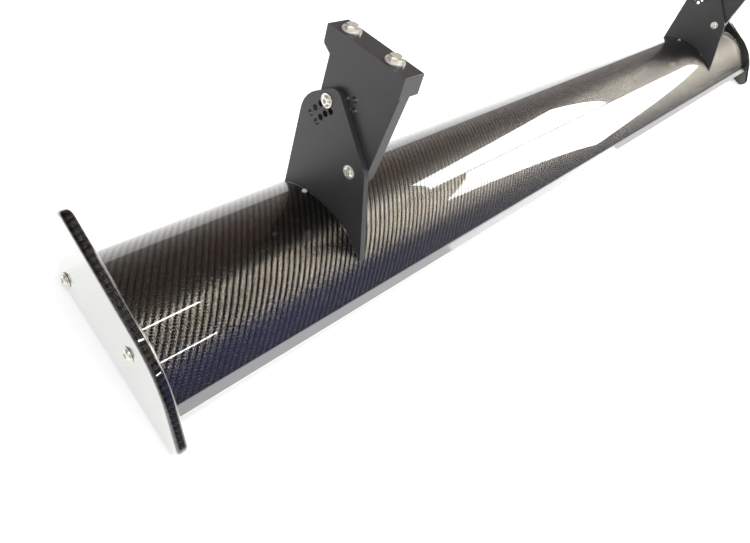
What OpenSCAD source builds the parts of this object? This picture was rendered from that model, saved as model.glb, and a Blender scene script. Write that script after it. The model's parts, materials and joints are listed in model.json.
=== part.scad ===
// Racing rear wing, stored upside down on its end plates with its feet up.
// X runs along the span, Y runs from the trailing edge to the leading edge, Z is up.

/* [Wing] */
// overall width over both end plates
span_w = 1500; // [900:10:1800]
// distance from the leading edge to the trailing edge
chord = 151; // [120:0.5:260]
// greatest thickness of the section
section_t = 32; // [18:0.5:45]
// height of the mean line above the chord line
camber_h = 29; // [8:0.5:40]
// place of the highest camber, counted from the leading edge
camber_pos = 0.55; // [0.3:0.01:0.7]
// angle of the chord line to the feet
incidence = 8.5; // [0:0.5:15]
// thickness of the carbon skins
skin_t = 1.8; // [1:0.1:3]
// width of the flat lip along the trailing edge
lip_w = 8; // [4:0.5:20]
// thickness of the lip and of the trailing edge
lip_t = 2.6; // [1.6:0.1:5]

/* [Inside] */
// outside diameter of the front spar tube
front_spar_d = 14; // [8:0.5:16]
// outside diameter of the rear spar tube
rear_spar_d = 9; // [6:0.5:10]
// wall of both spar tubes
spar_wall = 1.5; // [1:0.1:3]
// thickness of the ribs at the wing's ends
end_rib_w = 15; // [10:1:30]
// thickness of the ribs under the brackets
mount_rib_w = 22; // [16:1:40]
// thickness of a foam former
former_w = 12; // [6:1:40]
// number of foam formers between the brackets
former_count = 6; // [3:1:10]

/* [End plates] */
// thickness of an end plate
plate_t = 10; // [4:0.5:14]
// height of an end plate at its rear upper corner
plate_h = 82.5; // [60:0.5:160]

/* [Brackets] */
// distance between the two legs
leg_gap = 1032; // [500:2:1300]
// thickness of a bracket plate
bracket_t = 6; // [4:0.5:10]
// height of the pivot above the trailing edge
pivot_h = 109; // [80:1:160]
// radius of the bracket around the pivot
bracket_r = 19; // [14:0.5:26]
// radius of the outer row of setting holes around the pivot
outer_row_r = 66.5; // [55:0.5:90]
// distance between the two rows of setting holes
row_gap = 10; // [8:0.5:16]
// angle from one setting hole to the next
hole_step = 8; // [7:0.5:15]
// height of the bracket's top above the pivot
bracket_rise = 64; // [56:0.5:80]

/* [Legs] */
// thickness of a leg plate
leg_t = 12; // [8:0.5:16]
// height of the foot face above the pivot
foot_rise = 111.5; // [108:0.5:180]
// length of a foot block
foot_l = 92.5; // [80:0.5:140]
// width of a foot block
foot_w = 24; // [20:0.5:40]
// thickness of a foot block
foot_t = 20; // [12:0.5:30]
// distance between a foot's two bolts
foot_bolt_gap = 52; // [30:1:80]
// lean of the feet from upright as stored
foot_tilt = 17; // [0:0.5:25]
// turn of a leg between its two settings
leg_turn = 10; // [2:0.5:10]

/* [Screws] */
// diameter of every screw's shank
screw_d = 6; // [5:0.5:8]
// diameter of a flanged button head
button_d = 13.6; // [10:0.1:16]
// height of a button head
button_h = 3.3; // [2:0.1:5]
// width across the flats of a nut or hexagon head
hex_af = 10; // [8:0.5:13]
// diameter of a small washer
washer_d = 12.5; // [10:0.5:18]
// diameter of a foot washer
foot_washer_d = 18; // [14:0.5:24]
// thickness of every washer
washer_t = 1.6; // [1:0.1:2.5]

/* [Hidden] */
$fn = 64;
// gap between a leg and what it turns against
side_gap = 0.3;
// radial clearance of the pivot in the leg
pivot_fit = 0.05;
// radial clearance of the locking screw in its slot
slot_fit = 0.3;
// radial clearance of a screw in a plain hole
hole_fit = 0.15;
// radial clearance of a screw in its thread and of a spar in a rib
thread_fit = 0.02;
curve_steps = 22;
screw_r = screw_d / 2;
inner_w = span_w - 2 * plate_t;
te_z = 32.5;
te_y = 13;
le_y = te_y + chord * cos(incidence);
le_z = chord * sin(incidence);
pivot_y = 75;
lock_angle = 46.9;
inner_row_r = outer_row_r - row_gap;
leg_hole_angle = 64;
foot_h = pivot_h + foot_rise;
foot_front_y = 49.5;
foot_rear_y = foot_front_y + foot_l;
foot_mid_y = (foot_front_y + foot_rear_y) / 2 + 3;
leg_x = bracket_t + side_gap;
unit_w = bracket_t + side_gap + leg_t;
foot_x = leg_x - 3;
front_spar = mean_point(0.24) - [0, 5];
rear_spar = mean_point(0.5) - [0, 6];
rear_screw = mean_point(0.08) - [0, 3];
front_screw = mean_point(0.68) - [0, 4];
tongue_y = [mean_point(0.62)[0], mean_point(0.15)[0]];
tongue_z = max(front_spar[1] + front_spar_d / 2, rear_spar[1] + rear_spar_d / 2) + 1.5;
rivet_at = skin_point(0.29, 1);
plate_front = -19;
centre_y = (plate_front + foot_rear_y * cos(foot_tilt) + foot_h * sin(foot_tilt)) / 2;
base_ring = 2;

// ---- section of the wing, in the frame of the feet: [y, z] ----

function steps(from, to) = [for (i = [0 : curve_steps]) from + (to - from) * i / curve_steps];

function spread(u) = (1 - cos(180 * u)) / 2;

function mean_h(s) =
    s < camber_pos
        ? camber_h / pow(camber_pos, 2) * (2 * camber_pos * s - s * s)
        : camber_h / pow(1 - camber_pos, 2) * (1 - 2 * camber_pos + 2 * camber_pos * s - s * s);

function mean_slope(s) =
    s < camber_pos
        ? atan(2 * camber_h / pow(camber_pos, 2) * (camber_pos - s) / chord)
        : atan(2 * camber_h / pow(1 - camber_pos, 2) * (camber_pos - s) / chord);

function half_t(s) =
    5 * section_t * (0.2969 * sqrt(s) - 0.126 * s - 0.3516 * pow(s, 2) + 0.2843 * pow(s, 3)
    - 0.1036 * pow(s, 4)) + lip_t / 2 * s;

// a point at the share s of the chord, h above the chord line
function on_chord(along, h) = [
    le_y - along * cos(incidence) - h * sin(incidence),
    le_z - along * sin(incidence) + h * cos(incidence)
];

function skin_point(s, side) = on_chord(
    s * chord - side * half_t(s) * sin(mean_slope(s)),
    mean_h(s) + side * half_t(s) * cos(mean_slope(s))
);

function ahead(s) = min(s + 0.004, 1);

function behind(s) = max(s - 0.004, 0);

// direction into the wing, square to the surface
function inward(s, side) =
    s < 0.0001
        ? [-cos(incidence), -sin(incidence)]
        : let (d = skin_point(ahead(s), side) - skin_point(behind(s), side))
            [-side * d[1], side * d[0]] / norm(d);

function inner_point(s, side) = skin_point(s, side) + skin_t * inward(s, side);

function mean_point(s) = on_chord(s * chord, mean_h(s));

core_end = 0.9;

function outer_curve(side) = [for (u = steps(0, 1)) skin_point(spread(u), side)];

function inner_curve(side) = [for (u = steps(1, 0)) inner_point(core_end * spread(u), side)];

function reversed(list) = [for (i = [len(list) - 1 : -1 : 0]) list[i]];

// end of the lip, level as stored
lip_end = mean_point(1) - lip_w * [cos(foot_tilt), sin(foot_tilt)];
lip_up = lip_t / 2 * [-sin(foot_tilt), cos(foot_tilt)];

module skin_outline(side) {
    polygon(concat(
        outer_curve(side),
        [lip_end + side * lip_up, lip_end, mean_point(1), mean_point(core_end)],
        inner_curve(side)
    ));
}

module section_outline() {
    polygon(concat(outer_curve(1), reversed(outer_curve(-1))));
}

module core_outline() {
    polygon(concat(inner_curve(1), reversed(inner_curve(-1))));
}

// ---- helpers ----

// draws a [y, z] outline and gives it the width w from x
module across(x, w) {
    translate([x, 0, 0])
        rotate([90, 0, 90])
            linear_extrude(w)
                children();
}

// a rod along X
module rod(x, w, at, r) {
    translate([x, at[0], at[1]])
        rotate([0, 90, 0])
            cylinder(h = w, r = r);
}

// puts the frame of the feet into the frame of the part
module tilted() {
    translate([0, -centre_y, te_z])
        rotate([-foot_tilt, 0, 0])
            children();
}

function tilted_point(at) = [
    at[0] * cos(foot_tilt) + at[1] * sin(foot_tilt),
    te_z - at[0] * sin(foot_tilt) + at[1] * cos(foot_tilt)
];

function around_pivot(r, a) = [pivot_y + r * cos(a), pivot_h + r * sin(a)];

function tangent_normal(a, b) =
    let (
        d = [b[0] - a[0], b[1] - a[1]],
        l = norm(d),
        c = (a[2] - b[2]) / l,
        s = sqrt(1 - c * c)
    )
    [d[0] * c + d[1] * s, d[1] * c - d[0] * s] / l;

// outline round a ring of circles [y, z, r], given anticlockwise
module belt(ring) {
    n = len(ring);
    polygon([
        for (i = [0 : n - 1])
            let (a = ring[i], b = ring[(i + 1) % n], t = tangent_normal(a, b))
                for (c = [a, b])
                    [c[0] + c[2] * t[0], c[1] + c[2] * t[1]]
    ]);
    for (c = ring)
        translate([c[0], c[1]])
            circle(r = c[2]);
}

function unit_x(side) = side * leg_gap / 2 - unit_w / 2;

// ---- wing ----

module suction_skin() {
    color([0.08, 0.08, 0.09])
        tilted()
            difference() {
                across(-inner_w / 2, inner_w)
                    skin_outline(1);
                for (side = [-1, 1]) {
                    tongue(side);
                    rivet(side);
                }
            }
}

module pressure_skin() {
    color([0.1, 0.1, 0.11])
        tilted()
            across(-inner_w / 2, inner_w)
                skin_outline(-1);
}

module spar_tube(at, d) {
    difference() {
        rod(-inner_w / 2, inner_w, at, d / 2);
        rod(-inner_w / 2 - 1, inner_w + 2, at, d / 2 - spar_wall);
    }
}

module front_spar() {
    color([0.15, 0.15, 0.16])
        tilted()
            spar_tube(front_spar, front_spar_d);
}

module rear_spar() {
    color([0.15, 0.15, 0.16])
        tilted()
            spar_tube(rear_spar, rear_spar_d);
}

module spar_holes(x, w) {
    rod(x, w, front_spar, front_spar_d / 2 + thread_fit);
    rod(x, w, rear_spar, rear_spar_d / 2 + thread_fit);
}

function rib_x(side) = unit_x(side) + bracket_t / 2 - mount_rib_w / 2;

// foam formers: one outboard of each bracket, the rest evenly between the brackets
former_x = concat(
    [(rib_x(-1) - inner_w / 2) / 2, (rib_x(1) + mount_rib_w + inner_w / 2) / 2],
    [for (i = [1 : former_count]) leg_gap * (i / (former_count + 1) - 0.5)]
);

module foam_formers() {
    color([0.85, 0.82, 0.7])
        tilted()
            difference() {
                for (x = former_x)
                    across(x - former_w / 2, former_w)
                        core_outline();
                spar_holes(-inner_w / 2, inner_w);
            }
}

module end_rib(side) {
    x = side < 0 ? -inner_w / 2 : inner_w / 2 - end_rib_w;
    color([0.75, 0.76, 0.78])
        tilted()
            difference() {
                across(x, end_rib_w)
                    core_outline();
                spar_holes(x - 1, end_rib_w + 2);
                for (at = [front_screw, rear_screw])
                    rod(x - 1, end_rib_w + 2, at, screw_r + thread_fit);
            }
}

module mount_rib(side) {
    color([0.75, 0.76, 0.78])
        tilted()
            difference() {
                across(rib_x(side), mount_rib_w)
                    core_outline();
                spar_holes(rib_x(side) - 1, mount_rib_w + 2);
                tongue(side);
                rivet(side);
            }
}

// a rivet just outboard of each bracket, from above the skin into the rib
rivet_l = 14;
rivet_d = 3.2;
rivet_head_d = 5.5;
rivet_head_h = 1.2;

module rivet(side) {
    translate([rib_x(side) + 4, rivet_at[0], rivet_at[1] - rivet_l])
        cylinder(h = 2 * rivet_l, d = rivet_d);
}

module rib_rivets() {
    color([0.8, 0.8, 0.8])
        tilted()
            for (side = [-1, 1]) {
                intersection() {
                    rivet(side);
                    across(rib_x(side), mount_rib_w)
                        section_outline();
                }
                difference() {
                    translate([rib_x(side) + 4, rivet_at[0], rivet_at[1] - rivet_head_h])
                        cylinder(h = 2 * rivet_head_h, d = rivet_head_d);
                    across(rib_x(side), mount_rib_w)
                        section_outline();
                }
            }
}

// ---- end plates ----

module end_plate(side) {
    x = side < 0 ? -span_w / 2 : span_w / 2 - plate_t;
    color([0.08, 0.08, 0.09])
        difference() {
            translate([0, -centre_y, 0])
                across(x, plate_t)
                    intersection() {
                        belt([
                            [plate_front + 11, 11, 11],
                            [152, 15, 15],
                            [168, plate_h - 11, 11],
                            [73, plate_h - 101.5, 90]
                        ]);
                        translate([-60, 0])
                            square([300, 200]);
                    }
            tilted()
                for (at = [front_screw, rear_screw])
                    rod(x - 1, plate_t + 2, at, screw_r + hole_fit);
        }
}

// a button head screw along X, its head towards -X
module button_screw(x, at, length) {
    difference() {
        union() {
            rod(x, length, at, screw_r);
            rod(x - 1, 1, at, button_d / 2);
            intersection() {
                translate([x - 1 - button_h + 7.2, at[0], at[1]])
                    sphere(r = 7.2);
                rod(x - button_h, button_h, at, button_d / 2 - 1.4);
            }
        }
        translate([x - button_h - 1, at[0], at[1]])
            rotate([0, 90, 0])
                cylinder(h = 3, d = 4 / cos(30), $fn = 6);
    }
}

module plate_screws(side) {
    color([0.8, 0.8, 0.8])
        tilted()
            for (at = [front_screw, rear_screw])
                mirror([side < 0 ? 0 : 1, 0, 0])
                    button_screw(-span_w / 2, at, plate_t + end_rib_w - 2);
}

// ---- brackets ----

base_front = skin_point(0.81, 1) - [0, 4];
base_rear = skin_point(0.11, 1) - [0, 6];
bracket_ring = [
    [base_front[0], base_front[1], base_ring],
    [base_rear[0], base_rear[1], base_ring],
    [116, pivot_h + bracket_rise - 42, 34],
    [113, pivot_h + bracket_rise - 10, 10],
    [pivot_y, pivot_h, bracket_r]
];

module tongue(side) {
    translate([unit_x(side), tongue_y[0], tongue_z])
        cube([bracket_t, tongue_y[1] - tongue_y[0], 30]);
}

module bracket(side) {
    x = unit_x(side);
    color([0.12, 0.12, 0.13])
        tilted()
            difference() {
                union() {
                    difference() {
                        across(x, bracket_t)
                            belt(bracket_ring);
                        across(x - 1, bracket_t + 2)
                            section_outline();
                    }
                    intersection() {
                        tongue(side);
                        across(x, bracket_t)
                            belt(bracket_ring);
                    }
                }
                rod(x - 1, bracket_t + 2, [pivot_y, pivot_h], screw_r + hole_fit);
                for (r = [inner_row_r, outer_row_r])
                    for (i = [0 : 3])
                        rod(x - 1, bracket_t + 2, around_pivot(r, lock_angle - i * hole_step), screw_r + hole_fit);
            }
}

// ---- legs ----

module slot_outline(r, a0, a1, half_w) {
    intersection() {
        translate([pivot_y, pivot_h])
            difference() {
                circle(r = r + half_w);
                circle(r = r - half_w);
            }
        polygon([
            [pivot_y, pivot_h],
            around_pivot(2 * r, a0),
            around_pivot(2 * r, a1)
        ]);
    }
    for (a = [a0, a1])
        translate(around_pivot(r, a))
            circle(r = half_w);
}

module leg_outline() {
    belt([
        [pivot_y, pivot_h, 15],
        [130, pivot_h + 46, 6],
        [foot_rear_y - 9, foot_h - foot_t, 2],
        [foot_front_y + 3, foot_h - foot_t, 2]
    ]);
}

module foot_outline() {
    low = foot_h - foot_t;
    belt([
        [foot_front_y + 1, low + 1, 1],
        [foot_rear_y - 10, low - 2, 2],
        [foot_rear_y - 4, low + 4, 4],
        [foot_rear_y - 1, foot_h - 1, 1],
        [foot_front_y + 1, foot_h - 1, 1]
    ]);
}

function foot_bolt_y(i) = foot_mid_y + (i - 0.5) * foot_bolt_gap;

module leg(side) {
    x = unit_x(side);
    color([0.12, 0.12, 0.13])
        tilted()
            difference() {
                union() {
                    across(x + leg_x, leg_t)
                        leg_outline();
                    across(x + foot_x, foot_w)
                        foot_outline();
                }
                rod(x, unit_w + 2, [pivot_y, pivot_h], screw_r + pivot_fit);
                across(x, unit_w + 2)
                    slot_outline(outer_row_r, lock_angle, lock_angle + leg_turn, screw_r + slot_fit);
                for (r = [inner_row_r, outer_row_r])
                    for (i = [0, 1])
                        rod(x, unit_w + 2, around_pivot(r, leg_hole_angle + i * hole_step), screw_r + hole_fit);
                for (i = [0, 1])
                    translate([x + foot_x + foot_w / 2, foot_bolt_y(i), foot_h - foot_t + 2])
                        cylinder(h = foot_t, r = screw_r + thread_fit);
            }
}

// ---- fasteners ----

nut_x = unit_w + side_gap;

module through_screw(side, at) {
    color([0.8, 0.8, 0.8])
        tilted()
            button_screw(unit_x(side), at, nut_x + washer_t + 7);
}

module washer_ring(side, at) {
    x = unit_x(side) + nut_x;
    color([0.75, 0.75, 0.75])
        tilted()
            difference() {
                rod(x, washer_t, at, washer_d / 2);
                rod(x - 1, washer_t + 2, at, screw_r + hole_fit);
            }
}

module locknut(side, at) {
    x = unit_x(side) + nut_x + washer_t;
    color([0.8, 0.8, 0.8])
        tilted()
            difference() {
                translate([x, at[0], at[1]])
                    rotate([0, 90, 0])
                        union() {
                            cylinder(h = 5, d = hex_af / cos(30), $fn = 6);
                            cylinder(h = 6.5, d = hex_af - 0.6);
                        }
                rod(x - 1, 9, at, screw_r + thread_fit);
            }
}

pivot_at = [pivot_y, pivot_h];
lock_at = around_pivot(outer_row_r, lock_angle);

module foot_bolts(side) {
    color([0.8, 0.8, 0.8])
        tilted()
            for (i = [0, 1])
                translate([unit_x(side) + foot_x + foot_w / 2, foot_bolt_y(i), foot_h]) {
                    translate([0, 0, -14])
                        cylinder(h = 14 + washer_t, r = screw_r);
                    translate([0, 0, washer_t])
                        intersection() {
                            cylinder(h = 4.2, d = hex_af / cos(30), $fn = 6);
                            cylinder(h = 4.2, r1 = hex_af / 2 + 3.6, r2 = hex_af / 2);
                        }
                }
}

module foot_washers(side) {
    color([0.75, 0.75, 0.75])
        tilted()
            for (i = [0, 1])
                translate([unit_x(side) + foot_x + foot_w / 2, foot_bolt_y(i), foot_h])
                    difference() {
                        cylinder(h = washer_t, d = foot_washer_d);
                        translate([0, 0, -1])
                            cylinder(h = washer_t + 2, r = screw_r + hole_fit);
                    }
}

suction_skin();
pressure_skin();
foam_formers();
front_spar();
rear_spar();
end_rib(-1);  // end_rib_left
end_rib(1);  // end_rib_right
mount_rib(-1);  // mount_rib_left
mount_rib(1);  // mount_rib_right
rib_rivets();
end_plate(-1);  // end_plate_left
end_plate(1);  // end_plate_right
plate_screws(-1);  // plate_screws_left
plate_screws(1);  // plate_screws_right
bracket(-1);  // bracket_left
bracket(1);  // bracket_right
leg(-1);  // leg_left
leg(1);  // leg_right
through_screw(-1, pivot_at);  // pivot_screw_left
through_screw(1, pivot_at);  // pivot_screw_right
washer_ring(-1, pivot_at);  // pivot_washer_left
washer_ring(1, pivot_at);  // pivot_washer_right
locknut(-1, pivot_at);  // pivot_nut_left
locknut(1, pivot_at);  // pivot_nut_right
through_screw(-1, lock_at);  // lock_screw_left
through_screw(1, lock_at);  // lock_screw_right
washer_ring(-1, lock_at);  // lock_washer_left
washer_ring(1, lock_at);  // lock_washer_right
locknut(-1, lock_at);  // lock_nut_left
locknut(1, lock_at);  // lock_nut_right
foot_bolts(-1);  // foot_bolts_left
foot_bolts(1);  // foot_bolts_right
foot_washers(-1);  // foot_washers_left
foot_washers(1);  // foot_washers_right
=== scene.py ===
import bpy
import json
import math
from mathutils import Matrix, Vector


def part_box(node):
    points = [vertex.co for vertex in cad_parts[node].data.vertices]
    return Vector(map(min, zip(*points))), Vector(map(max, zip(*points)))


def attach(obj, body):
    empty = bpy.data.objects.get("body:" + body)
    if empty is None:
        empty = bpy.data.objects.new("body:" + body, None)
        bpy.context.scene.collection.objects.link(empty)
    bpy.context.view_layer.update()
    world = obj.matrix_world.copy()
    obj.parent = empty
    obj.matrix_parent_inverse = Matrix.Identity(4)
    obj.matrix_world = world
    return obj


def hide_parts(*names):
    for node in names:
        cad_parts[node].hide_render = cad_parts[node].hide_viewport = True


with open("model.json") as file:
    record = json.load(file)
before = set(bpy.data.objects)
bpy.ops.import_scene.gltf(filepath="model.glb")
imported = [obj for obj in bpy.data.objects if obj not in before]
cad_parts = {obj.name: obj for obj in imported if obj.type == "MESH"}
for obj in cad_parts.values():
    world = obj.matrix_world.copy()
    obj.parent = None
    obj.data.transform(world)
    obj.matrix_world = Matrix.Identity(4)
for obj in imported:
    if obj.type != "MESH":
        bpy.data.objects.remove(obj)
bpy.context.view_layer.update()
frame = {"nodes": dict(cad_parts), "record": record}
bpy.ops.object.select_all(action="DESELECT")
print("frame loaded:", len(frame["nodes"]), "nodes")


# ---- shader helpers ----

class Signal:  # one socket of a material, with arithmetic
    def __init__(self, tree, socket):
        self.tree = tree
        self.socket = socket

    def sum(self, operation, first, second=None):
        node = self.tree.nodes.new("ShaderNodeMath")
        node.operation = operation
        for place, value in enumerate((first, second)):
            if isinstance(value, Signal):
                self.tree.links.new(value.socket, node.inputs[place])
            elif value is not None:
                node.inputs[place].default_value = value
        return Signal(self.tree, node.outputs[0])

    def __add__(self, other):
        return self.sum("ADD", self, other)

    __radd__ = __add__

    def __sub__(self, other):
        return self.sum("SUBTRACT", self, other)

    def __rsub__(self, other):
        return self.sum("SUBTRACT", other, self)

    def __mul__(self, other):
        return self.sum("MULTIPLY", self, other)

    __rmul__ = __mul__

    def __mod__(self, other):
        return self.sum("FLOORED_MODULO", self, other)

    def __lt__(self, other):
        return self.sum("LESS_THAN", self, other)

    def __gt__(self, other):
        return self.sum("GREATER_THAN", self, other)

    def floor(self):
        return self.sum("FLOOR", self)

    def rest(self):  # what is left after the whole number
        return self.sum("FRACT", self)

    def power(self, other):
        return self.sum("POWER", self, other)

    def held(self):  # kept between nought and one
        return self.sum("MINIMUM", self.sum("MAXIMUM", self, 0.0), 1.0)


class Finish:
    def __init__(self, name, holder=None):
        self.holder = holder or bpy.data.materials.new(name)
        self.holder.use_nodes = True
        self.tree = self.holder.node_tree
        self.tree.nodes.clear()

    def add(self, kind, settings=None, sockets=None, out=0):
        node = self.tree.nodes.new(kind)
        for key, value in (settings or {}).items():
            if key == "stops":
                ramp = node.color_ramp
                while len(ramp.elements) < len(value):
                    ramp.elements.new(0.5)
                for element, (place, colour) in zip(ramp.elements, value):
                    element.position = place
                    element.color = (*colour, 1)
            else:
                setattr(node, key, value)
        for key, value in (sockets or {}).items():
            if isinstance(value, Signal):
                self.tree.links.new(value.socket, node.inputs[key])
            else:
                node.inputs[key].default_value = value
        return Signal(self.tree, node.outputs[out])

    def place(self):  # the piece's own place in the row frame
        return self.add("ShaderNodeTexCoord", out=3)

    def axes(self, vector):
        node = self.tree.nodes.new("ShaderNodeSeparateXYZ")
        self.tree.links.new(vector.socket, node.inputs[0])
        return [Signal(self.tree, socket) for socket in node.outputs]

    def vector(self, x, y, z=0.0):
        return self.add("ShaderNodeCombineXYZ", sockets={0: x, 1: y, 2: z})

    def noise(self, vector, scale, detail=2.0):
        return self.add("ShaderNodeTexNoise", sockets={"Vector": vector, "Scale": scale, "Detail": detail})

    def blend(self, factor, first, second):
        return self.add("ShaderNodeMix", {"data_type": "RGBA"}, {0: factor, 6: first, 7: second}, out=2)

    def bump(self, height, strength, distance):
        return self.add("ShaderNodeBump", sockets={"Height": height, "Strength": strength, "Distance": distance})

    def close(self, kind, shader):
        node = self.tree.nodes.new(kind)
        self.tree.links.new(shader.socket, node.inputs["Surface"])
        return self.holder


def stretched(finish, vector, x, y, z):
    return finish.add("ShaderNodeVectorMath", {"operation": "MULTIPLY"}, {0: vector, 1: (x, y, z)})


# ---- finishes ----

# the bright tow colour is painted sheen: the same fibre as the dark tow, lightened to stand in for the highlight the
# tows running round the section catch
weave = dict(columnPitch=0.00167, rowPitch=0.00209, lean=0.066, depth=0.00020, paintedSheenTow=(0.125, 0.114, 0.094, 1),
             darkTow=(0.008, 0.008, 0.010, 1), metal=1.0, lacquer=0.02)


def carbonFinish(name, across, along, finish, towSheenStrength=1.0, film=None, edge=None):
    # two-up, two-down twill: across and along are places on the cloth in metres
    u = (across - along * weave["lean"]) * (1 / weave["columnPitch"])
    v = along * (1 / weave["rowPitch"])
    columnTow = u.floor()
    rowTow = v.floor()
    columnOnTop = ((columnTow + rowTow) % 4.0) < 1.5
    du = u.rest() * 2.0 - 1.0
    dv = v.rest() * 2.0 - 1.0
    columnHump = 1.0 - du * du
    rowHump = 1.0 - dv * dv
    columnFloat = (columnTow + v) % 4.0 - 1.0
    rowFloat = (rowTow + u) % 4.0 - 3.0
    rowCrown = (1.0 - columnOnTop) * rowHump * (1.0 - rowFloat * rowFloat)
    hump = columnOnTop * columnHump * (1.0 - columnFloat * columnFloat * 0.5) + rowCrown
    fibreSeed = finish.vector(columnOnTop * u * 9.0 + (1.0 - columnOnTop) * v * 9.0,
                              columnOnTop * v * 0.7 + (1.0 - columnOnTop) * u * 0.7, columnTow + rowTow * 3.0)
    fibre = finish.noise(fibreSeed, 1.0, 1.0)
    patch = finish.noise(finish.vector(across, along), 14.0, 2.0)
    # painted highlight: tows running round the section take the bright colour in place of their sheen, the other tows
    # keep the dark one; the strength argument scales this
    tint = finish.blend((1.0 - (rowCrown * 2.2).held()) * towSheenStrength, weave["darkTow"], weave["paintedSheenTow"])
    shade = (0.55 + fibre * 0.9) * (0.8 + patch * 0.4)
    lit = finish.add("ShaderNodeMix", {"data_type": "RGBA", "blend_type": "MULTIPLY"},
                     {0: 1.0, 6: tint, 7: finish.vector(shade, shade, shade)}, out=2)
    colour = lit
    rough = 0.20 + fibre * 0.12
    coat = 1.0
    metal = weave["metal"]
    if edge is not None:  # the lip: a flat matt grey band with thinner lacquer
        colour = finish.blend(edge, colour, (0.27, 0.27, 0.28, 1))
        rough = rough * (1.0 - edge) + edge * 0.6
        metal = (1.0 - edge) * weave["metal"]
        coat = 1.0 - edge * 0.7
    shader = finish.add("ShaderNodeBsdfPrincipled", sockets={
        "Base Color": colour, "Metallic": metal, "Roughness": rough, "Coat Weight": coat,
        "Coat Roughness": weave["lacquer"], "Coat IOR": 1.55,
        "Normal": finish.bump(hump + fibre * 0.25, 0.9, weave["depth"])})
    if film:  # a thick lacquer that mirrors more the flatter it is looked at
        graze = finish.add("ShaderNodeLayerWeight", sockets={"Blend": 0.5}, out=1)
        mirror = finish.add("ShaderNodeBsdfAnisotropic", sockets={"Color": (0.97, 0.98, 0.95, 1),
                                                                       "Roughness": film["rough"]})
        factor = (graze.power(film["sharpness"]) * film["strength"]).held()
        shader = finish.add("ShaderNodeMixShader", sockets={0: factor, 1: shader, 2: mirror})
    return finish.close("ShaderNodeOutputMaterial", shader)


def wingCarbon(name, lipStart):
    finish = Finish(name)
    u, v, w = finish.axes(finish.add("ShaderNodeTexCoord", out=2))
    edge = v > lipStart if lipStart else None
    return carbonFinish(name, u, v, finish, film=dict(sharpness=8.0, strength=0.7, rough=0.03), edge=edge)


def plateCarbon(name):
    finish = Finish(name)
    x, y, z = finish.axes(finish.place())
    # the plates get the painted tow sheen at 0.35 of its strength
    return carbonFinish(name, y + x * 0.5, z - x, finish, towSheenStrength=0.35,
                        film=dict(sharpness=3.0, strength=2.0, rough=0.06))


def metalFinish(name, colour, metal, rough, spread, grain, depth, coat=0.0):
    # grain is how the fine scratches stretch along each axis
    finish = Finish(name)
    place = finish.place()
    scratches = finish.noise(stretched(finish, place, *grain), 1.0, 3.0)
    cloud = finish.noise(place, 60.0, 3.0)
    tone = 0.88 + scratches * 0.16 + cloud * 0.08
    tinted = finish.add("ShaderNodeMix", {"data_type": "RGBA", "blend_type": "MULTIPLY"},
                        {0: 1.0, 6: (*colour, 1), 7: finish.vector(tone, tone, tone)}, out=2)
    shader = finish.add("ShaderNodeBsdfPrincipled", sockets={
        "Base Color": tinted, "Metallic": metal, "Roughness": (rough + (scratches - 0.5) * spread).held(),
        "Coat Weight": coat, "Normal": finish.bump(scratches + cloud * 0.5, 0.4, depth)})
    return finish.close("ShaderNodeOutputMaterial", shader)


def foamFinish(name):
    finish = Finish(name)
    place = finish.place()
    cells = finish.add("ShaderNodeTexVoronoi", sockets={"Vector": place, "Scale": 900.0})
    cloud = finish.noise(place, 40.0, 3.0)
    colour = finish.blend(cloud, (0.78, 0.72, 0.55, 1), (0.86, 0.81, 0.66, 1))
    shader = finish.add("ShaderNodeBsdfPrincipled", sockets={
        "Base Color": colour, "Roughness": 0.9, "Normal": finish.bump(cells, 0.6, 0.0006)})
    return finish.close("ShaderNodeOutputMaterial", shader)


upperCarbon = wingCarbon("carbonWeave", 0.185)
lowerCarbon = wingCarbon("carbonLower", 0.0)
platesCarbon = plateCarbon("carbonPlate")
satinBlack = metalFinish("blackAnodised", (0.042, 0.042, 0.043), 0.0, 0.38, 0.10, (900, 900, 900), 0.00008)
# partly painted reflection: the stainless heads and washers are left part diffuse, so that their near-white colour
# shows bright in place of the bright room they mirror
stainless = metalFinish("stainless", (0.88, 0.85, 0.76), 0.6, 0.16, 0.12, (300, 300, 2200), 0.00002)
washerSteel = metalFinish("stainlessWasher", (0.86, 0.84, 0.79), 0.6, 0.20, 0.14, (2500, 600, 600), 0.00002)
# partly painted reflection: the rivets are made mostly diffuse, so that their near-white colour stands in for part of
# the tube light they mirror
rivetAluminium = metalFinish("rivet", (0.90, 0.90, 0.88), 0.3, 0.30, 0.10, (900, 900, 900), 0.00003)
ribAluminium = metalFinish("ribAluminium", (0.72, 0.73, 0.75), 1.0, 0.34, 0.16, (200, 2500, 200), 0.00005)
tubeCarbon = metalFinish("carbonTube", (0.045, 0.045, 0.05), 0.2, 0.45, 0.16, (60, 2600, 2600), 0.00006)
resin = metalFinish("resin", (0.02, 0.02, 0.022), 0.0, 0.14, 0.08, (400, 900, 900), 0.00004, coat=0.6)
foam = foamFinish("foam")
print("finishes made")


# ---- modelling helpers ----

def applyAll(piece):
    bpy.ops.object.select_all(action="DESELECT")
    piece.select_set(True)
    bpy.context.view_layer.objects.active = piece
    for modifier in list(piece.modifiers):
        bpy.ops.object.modifier_apply(modifier=modifier.name)


def named(piece, name, finish, body, nodes=(), angle=28):
    # finishes the piece: name, material, smooth faces, what it rides on
    piece.name = piece.data.name = name
    piece.data.materials.clear()
    piece.data.materials.append(finish)
    bpy.ops.object.select_all(action="DESELECT")
    piece.select_set(True)
    bpy.context.view_layer.objects.active = piece
    bpy.ops.object.shade_smooth_by_angle(angle=math.radians(angle))
    piece.modifiers.new("flats", "WEIGHTED_NORMAL").keep_sharp = True
    applyAll(piece)
    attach(piece, body)
    if nodes:
        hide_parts(*nodes)
    return piece


def roundEdges(piece, width, segments, angle=50):
    bevel = piece.modifiers.new("edges", "BEVEL")
    bevel.width = width
    bevel.segments = segments
    bevel.limit_method = "ANGLE"
    bevel.angle_limit = math.radians(angle)
    applyAll(piece)


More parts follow.
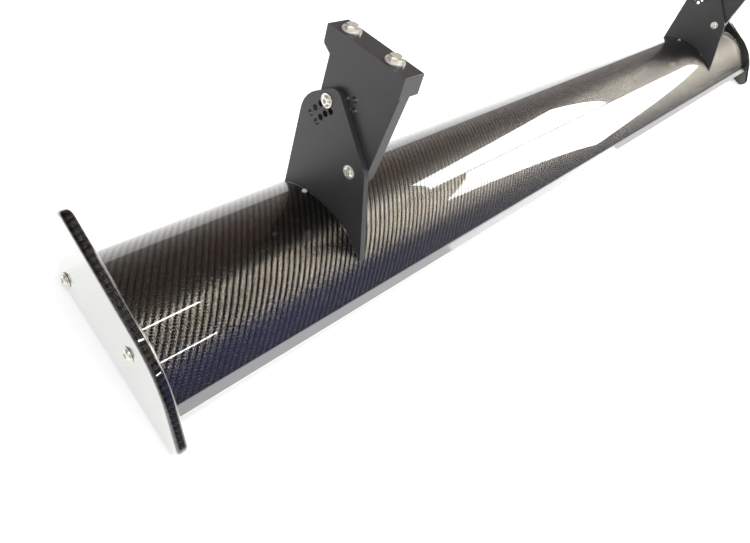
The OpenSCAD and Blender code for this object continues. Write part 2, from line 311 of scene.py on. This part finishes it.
def outlinePiece(points, start, width):
    # walks one vertex round the outline [y, z], fills it and pulls it along X
    bpy.ops.object.select_all(action="DESELECT")
    bpy.ops.mesh.primitive_plane_add(size=0.001, location=(0, 0, 0))
    bpy.ops.object.mode_set(mode="EDIT")
    bpy.ops.mesh.select_all(action="SELECT")
    bpy.ops.mesh.merge(type="CENTER")
    bpy.ops.transform.translate(value=(start, points[0][0], points[0][1]))
    for before, after in zip(points, points[1:]):
        bpy.ops.mesh.extrude_region_move(TRANSFORM_OT_translate={
            "value": (0, after[0] - before[0], after[1] - before[1])})
    bpy.ops.mesh.select_all(action="SELECT")
    bpy.ops.mesh.edge_face_add()
    bpy.ops.mesh.extrude_region_move(TRANSFORM_OT_translate={"value": (width, 0, 0)})
    bpy.ops.mesh.select_all(action="SELECT")
    bpy.ops.mesh.normals_make_consistent(inside=False)
    bpy.ops.object.mode_set(mode="OBJECT")
    return bpy.context.active_object


def roundedCopy(node, width, segments=2):
    # a merged copy of a CAD node with its sharp edges broken
    piece = bpy.data.objects.new("copy", frame["nodes"][node].data.copy())
    bpy.context.scene.collection.objects.link(piece)
    bpy.ops.object.select_all(action="DESELECT")
    piece.select_set(True)
    bpy.context.view_layer.objects.active = piece
    bpy.ops.object.mode_set(mode="EDIT")
    bpy.ops.mesh.select_all(action="SELECT")
    bpy.ops.mesh.customdata_custom_splitnormals_clear()
    bpy.ops.mesh.remove_doubles(threshold=0.000004)
    bpy.ops.mesh.dissolve_limited(angle_limit=math.radians(0.5))
    bpy.ops.object.mode_set(mode="OBJECT")
    roundEdges(piece, width, segments)
    return piece


# ---- wing section, in the frame of the feet: [y, z] ----

wing = dict(chord=0.151, thick=0.032, camber=0.029, camberPlace=0.55, incidence=8.5, lean=17.0, tailY=0.013,
            tailZ=0.0325, centreY=0.0906316, lipWide=0.008, lipThick=0.0026, skin=0.0018, hollowEnd=0.9,
            insideHalf=0.740, steps=64)


def onChord(along, height):
    tilt = math.radians(wing["incidence"])
    noseY = wing["tailY"] + wing["chord"] * math.cos(tilt)
    noseZ = wing["chord"] * math.sin(tilt)
    return (noseY - along * math.cos(tilt) - height * math.sin(tilt),
            noseZ - along * math.sin(tilt) + height * math.cos(tilt))


def meanLine(share):
    top, place = wing["camber"], wing["camberPlace"]
    if share < place:
        return top / place ** 2 * (2 * place * share - share ** 2)
    return top / (1 - place) ** 2 * (1 - 2 * place + 2 * place * share - share ** 2)


def meanSlope(share):
    top, place = wing["camber"], wing["camberPlace"]
    side = place if share < place else 1 - place
    return math.atan(2 * top / side ** 2 * (place - share) / wing["chord"])


def halfThick(share):
    curve = (0.2969 * math.sqrt(share) - 0.126 * share - 0.3516 * share ** 2 + 0.2843 * share ** 3
             - 0.1036 * share ** 4)
    return 5 * wing["thick"] * curve + wing["lipThick"] / 2 * share


def skinPoint(share, side, depth=0.0):
    reach = side * (halfThick(share) - depth)
    return onChord(share * wing["chord"] - reach * math.sin(meanSlope(share)),
                   meanLine(share) + reach * math.cos(meanSlope(share)))


def toRow(point):
    lean = math.radians(wing["lean"])
    y, z = point
    return (y * math.cos(lean) + z * math.sin(lean) - wing["centreY"],
            wing["tailZ"] - y * math.sin(lean) + z * math.cos(lean))


def spread(count, end=1.0):
    return [end * (1 - math.cos(math.pi * i / count)) / 2 for i in range(count + 1)]


def skinOutline(side):
    outer = [toRow(skinPoint(share, side)) for share in spread(wing["steps"])]
    tail = toRow(onChord(wing["chord"], 0.0))
    half = wing["lipThick"] / 2
    lip = [(tail[0] - wing["lipWide"], tail[1] + side * half), (tail[0] - wing["lipWide"], tail[1])]
    back = [share for share in reversed(spread(wing["steps"] // 2, wing["hollowEnd"])) if share > 0.012]
    middle = [toRow(onChord(wing["chord"], 0.0)), toRow(skinPoint(wing["hollowEnd"], 0))]
    inner = [toRow(skinPoint(share, side, wing["skin"])) for share in back]
    nose = toRow(skinPoint(0.014, 0))
    return outer, outer + lip + middle + inner + [nose]


def wrapCloth(piece, outer):
    # the cloth's map: along the span, and round the section from the nose
    lengths = [0.0]
    for before, after in zip(outer, outer[1:]):
        lengths.append(lengths[-1] + math.dist(before, after))
    layer = piece.data.uv_layers.active
    layer.name = "cloth"
    found = []
    for vertex in piece.data.vertices:
        at = (vertex.co.y, vertex.co.z)
        nearest = min(range(len(outer)), key=lambda i: math.dist(at, outer[i]))
        found.append(lengths[nearest] + (math.dist(at, outer[nearest]) if nearest == len(outer) - 1 else 0.0))
    for loop in piece.data.loops:
        layer.data[loop.index].uv = (piece.data.vertices[loop.vertex_index].co.x, found[loop.vertex_index])


for side, node, finish, slotName in ((1, "suction_skin", upperCarbon, "carbon_weave"),
                                     (-1, "pressure_skin", lowerCarbon, "carbon_lower")):
    outer, outline = skinOutline(side)
    skin = outlinePiece(outline, -wing["insideHalf"], 2 * wing["insideHalf"])
    wrapCloth(skin, outer)
    named(skin, "wing_upper" if side > 0 else "wing_lower", finish, "wing", [node], angle=20)
print("wing skins made")


# ---- end plates ----

plate = dict(front=-0.019, height=0.0825, thick=0.010, rolled=0.0036, steps=14)
plateRing = [(plate["front"] + 0.011, 0.011, 0.011), (0.152, 0.015, 0.015),
             (0.168, plate["height"] - 0.011, 0.011), (0.073, plate["height"] - 0.1015, 0.090)]


def ringOutline(ring, steps):
    # outline round circles (y, z, radius) given anticlockwise
    def leaving(a, b):
        far = math.dist(a[:2], b[:2])
        turn = math.acos((a[2] - b[2]) / far)
        return math.atan2(b[1] - a[1], b[0] - a[0]) - turn
    points = []
    for i, circle in enumerate(ring):
        start = leaving(ring[i - 1], circle)
        sweep = (leaving(circle, ring[(i + 1) % len(ring)]) - start) % (2 * math.pi)
        for k in range(steps + 1):
            angle = start + sweep * k / steps
            points.append((circle[0] + circle[2] * math.cos(angle), circle[1] + circle[2] * math.sin(angle)))
    return points


plateOutline = [(y - wing["centreY"], z) for y, z in ringOutline(plateRing, plate["steps"])]
for sign, word in ((-1, "left"), (1, "right")):
    low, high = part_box("end_plate_" + word)
    endPlate = outlinePiece(plateOutline, low.x, high.x - low.x)
    roundEdges(endPlate, plate["rolled"], 6, angle=60)
    named(endPlate, "plate_" + word, platesCarbon, "wing", ["end_plate_" + word])
print("end plates made")


# ---- brackets, legs and fasteners ----

brokenEdges = dict(bracket=0.0005, leg=0.0006, plate_screws=0.0004, pivot_screw=0.0004, lock_screw=0.0004,
                   pivot_washer=0.0003, lock_washer=0.0003, pivot_nut=0.0004, lock_nut=0.0004,
                   foot_bolts=0.0004, foot_washers=0.0003)
finishOf = dict(black_anodised=satinBlack, stainless=stainless, stainless_washer=washerSteel, rivet=rivetAluminium)
slotOf = {part["node"]: part["material_slot"] for part in frame["record"]["subparts"]}
bodyOf = {node: body for body, nodes in frame["record"]["behaviour"]["bodies"].items() for node in nodes}
for stem, width in brokenEdges.items():
    for word in ("left", "right"):
        node = stem + "_" + word
        piece = roundedCopy(node, width)
        named(piece, "visible_" + node, finishOf[slotOf[node]], bodyOf[node], [node])
rivets = roundedCopy("rib_rivets", 0.0006, 3)
named(rivets, "visible_rivets", rivetAluminium, "wing", ["rib_rivets"])
print("brackets, legs and fasteners made")


# ---- glue beads along the brackets ----

bead = dict(radius=0.0011, firstShare=0.13, lastShare=0.80, steps=40)
for word in ("left", "right"):
    low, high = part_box("bracket_" + word)
    for x, face in ((low.x - 0.0002, "outer"), (high.x + 0.0002, "inner")):
        bpy.ops.object.select_all(action="DESELECT")
        bpy.ops.mesh.primitive_plane_add(size=0.001, location=(0, 0, 0))
        bpy.ops.object.mode_set(mode="EDIT")
        bpy.ops.mesh.select_all(action="SELECT")
        bpy.ops.mesh.merge(type="CENTER")
        first, last, count = bead["firstShare"], bead["lastShare"], bead["steps"]
        path = [toRow(skinPoint(first + (last - first) * i / count, 1)) for i in range(count + 1)]
        bpy.ops.transform.translate(value=(x, path[0][0], path[0][1]))
        for before, after in zip(path, path[1:]):
            bpy.ops.mesh.extrude_region_move(TRANSFORM_OT_translate={
                "value": (0, after[0] - before[0], after[1] - before[1])})
        bpy.ops.object.mode_set(mode="OBJECT")
        bpy.ops.object.convert(target="CURVE")
        line = bpy.context.active_object
        line.data.bevel_depth = bead["radius"]
        line.data.bevel_resolution = 2
        line.data.use_fill_caps = True
        bpy.ops.object.convert(target="MESH")
        named(bpy.context.active_object, "bead_" + word + "_" + face, resin, "wing", angle=50)
print("glue beads made")


# ---- inner pieces keep their CAD shape ----

innerFinish = dict(carbon_tube=tubeCarbon, foam=foam, rib_aluminium=ribAluminium)
for node, thing in frame["nodes"].items():
    if slotOf[node] in innerFinish:
        thing.data.materials.clear()
        thing.data.materials.append(innerFinish[slotOf[node]])


# ---- floor and light ----

floor = dict(size=14.0, glow=0.42)
bpy.ops.object.select_all(action="DESELECT")
bpy.ops.mesh.primitive_plane_add(size=floor["size"], location=(0, 0, 0))
ground = bpy.context.active_object
ground.name = "floor"
finish = Finish("floorWhite")
seen = finish.add("ShaderNodeLightPath")
glossy = Signal(finish.tree, seen.socket.node.outputs["Is Glossy Ray"])
paper = finish.noise(finish.place(), 3.0, 2.0)
matte = finish.add("ShaderNodeBsdfDiffuse", sockets={
    "Color": finish.blend(paper, (0.86, 0.86, 0.87, 1), (0.88, 0.88, 0.89, 1))})
glow = finish.add("ShaderNodeEmission", sockets={"Strength": (seen + glossy).held() * floor["glow"]})
ground.data.materials.append(finish.close("ShaderNodeOutputMaterial",
                                          finish.add("ShaderNodeAddShader", sockets={0: matte, 1: glow})))

room = Finish("room", bpy.data.worlds.new("room"))
bpy.context.scene.world = room.holder
ways = room.add("ShaderNodeLightPath")
cameraRay = ways
glossyRay = Signal(room.tree, ways.socket.node.outputs["Is Glossy Ray"])
direction = room.add("ShaderNodeTexCoord", out=0)


def toward(x, y, z, sharpness):
    size = math.sqrt(x * x + y * y + z * z)
    dot = room.add("ShaderNodeVectorMath", {"operation": "DOT_PRODUCT"},
                   {0: direction, 1: (x / size, y / size, z / size)}, out=1)
    return dot.held().power(sharpness)


plain = room.add("ShaderNodeBackground", sockets={"Color": (0.93, 0.95, 1.0, 1), "Strength": 0.42})
blueSide = room.blend(toward(0.42, -0.74, 0.45, 14.0), (0.07, 0.07, 0.075, 1), (0.16, 0.22, 0.60, 1))
mirrored = room.blend(toward(0.6, 0.62, 0.42, 9.0) * 0.8, blueSide, (0.30, 0.20, 0.15, 1))
dim = room.add("ShaderNodeBackground", sockets={"Color": mirrored, "Strength": 1.0})
white = room.add("ShaderNodeBackground", sockets={"Color": (1, 1, 1, 1), "Strength": 1.0})
lit = room.add("ShaderNodeMixShader", sockets={0: glossyRay, 1: plain, 2: dim})
room.close("ShaderNodeOutputWorld", room.add("ShaderNodeMixShader", sockets={0: cameraRay, 1: lit, 2: white}))

lamps = dict(
    windowFar=dict(at=(2.0, 0.40, 1.70), to=(-1, 0, 0), wide=0.80, tall=1.30, radiance=15.0, tint=(1, 1, 1)),
    windowNear=dict(at=(2.0, -0.55, 1.30), to=(-1, 0, 0), wide=1.00, tall=1.44, radiance=13.0, tint=(1, 0.97, 0.91)),
    tubeOver=dict(at=(-0.66, -0.02, 2.06), to=(0, 0, -1), wide=0.05, tall=1.68, radiance=52.0, tint=(1, 0.98, 0.94)),
    tubeFront=dict(at=(-0.53, -1.63, 2.06), to=(0, 0, -1), wide=0.05, tall=1.92, radiance=52.0, tint=(1, 0.98, 0.94)),
    leftFill=dict(at=(-3.2, -0.6, 1.5), to=(1, 0.15, -0.35), wide=2.4, tall=2.0, radiance=0.9, tint=(1, 1, 1)))
for name, lamp in lamps.items():
    data = bpy.data.lights.new(name, "AREA")
    data.shape = "RECTANGLE"
    data.size = lamp["wide"]
    data.size_y = lamp["tall"]
    data.energy = lamp["radiance"] * math.pi * lamp["wide"] * lamp["tall"]
    data.color = lamp["tint"]
    thing = bpy.data.objects.new(name, data)
    bpy.context.scene.collection.objects.link(thing)
    away = -Vector(lamp["to"]).normalized()
    top = Vector((0, 0, 1)) if abs(away.z) < 0.9 else Vector((1, 0, 0))
    right = top.cross(away).normalized()
    turn = Matrix((right, away.cross(right), away)).transposed().to_4x4()
    thing.matrix_world = Matrix.Translation(lamp["at"]) @ turn
print("light made")


# ---- camera ----

view = dict(at=(-0.89793, -0.15429, 0.52353), right=(0.658818, -0.590383, 0.466268),
            up=(0.356798, 0.790857, 0.497233), back=(-0.66231, -0.161223, 0.731678), lens=30.085,
            shiftX=-0.0292, shiftY=-0.0420)
cameraData = bpy.data.cameras.new("camera")
cameraData.sensor_width = 36.0
cameraData.lens = view["lens"]
cameraData.shift_x = view["shiftX"]
cameraData.shift_y = view["shiftY"]
cameraData.clip_start = 0.01
camera = bpy.data.objects.new("camera", cameraData)
bpy.context.scene.collection.objects.link(camera)
camera.matrix_world = (Matrix.Translation(view["at"])
                       @ Matrix((view["right"], view["up"], view["back"])).transposed().to_4x4())
bpy.context.scene.camera = camera
bpy.context.scene.view_settings.view_transform = "Standard"

print("scene ready")
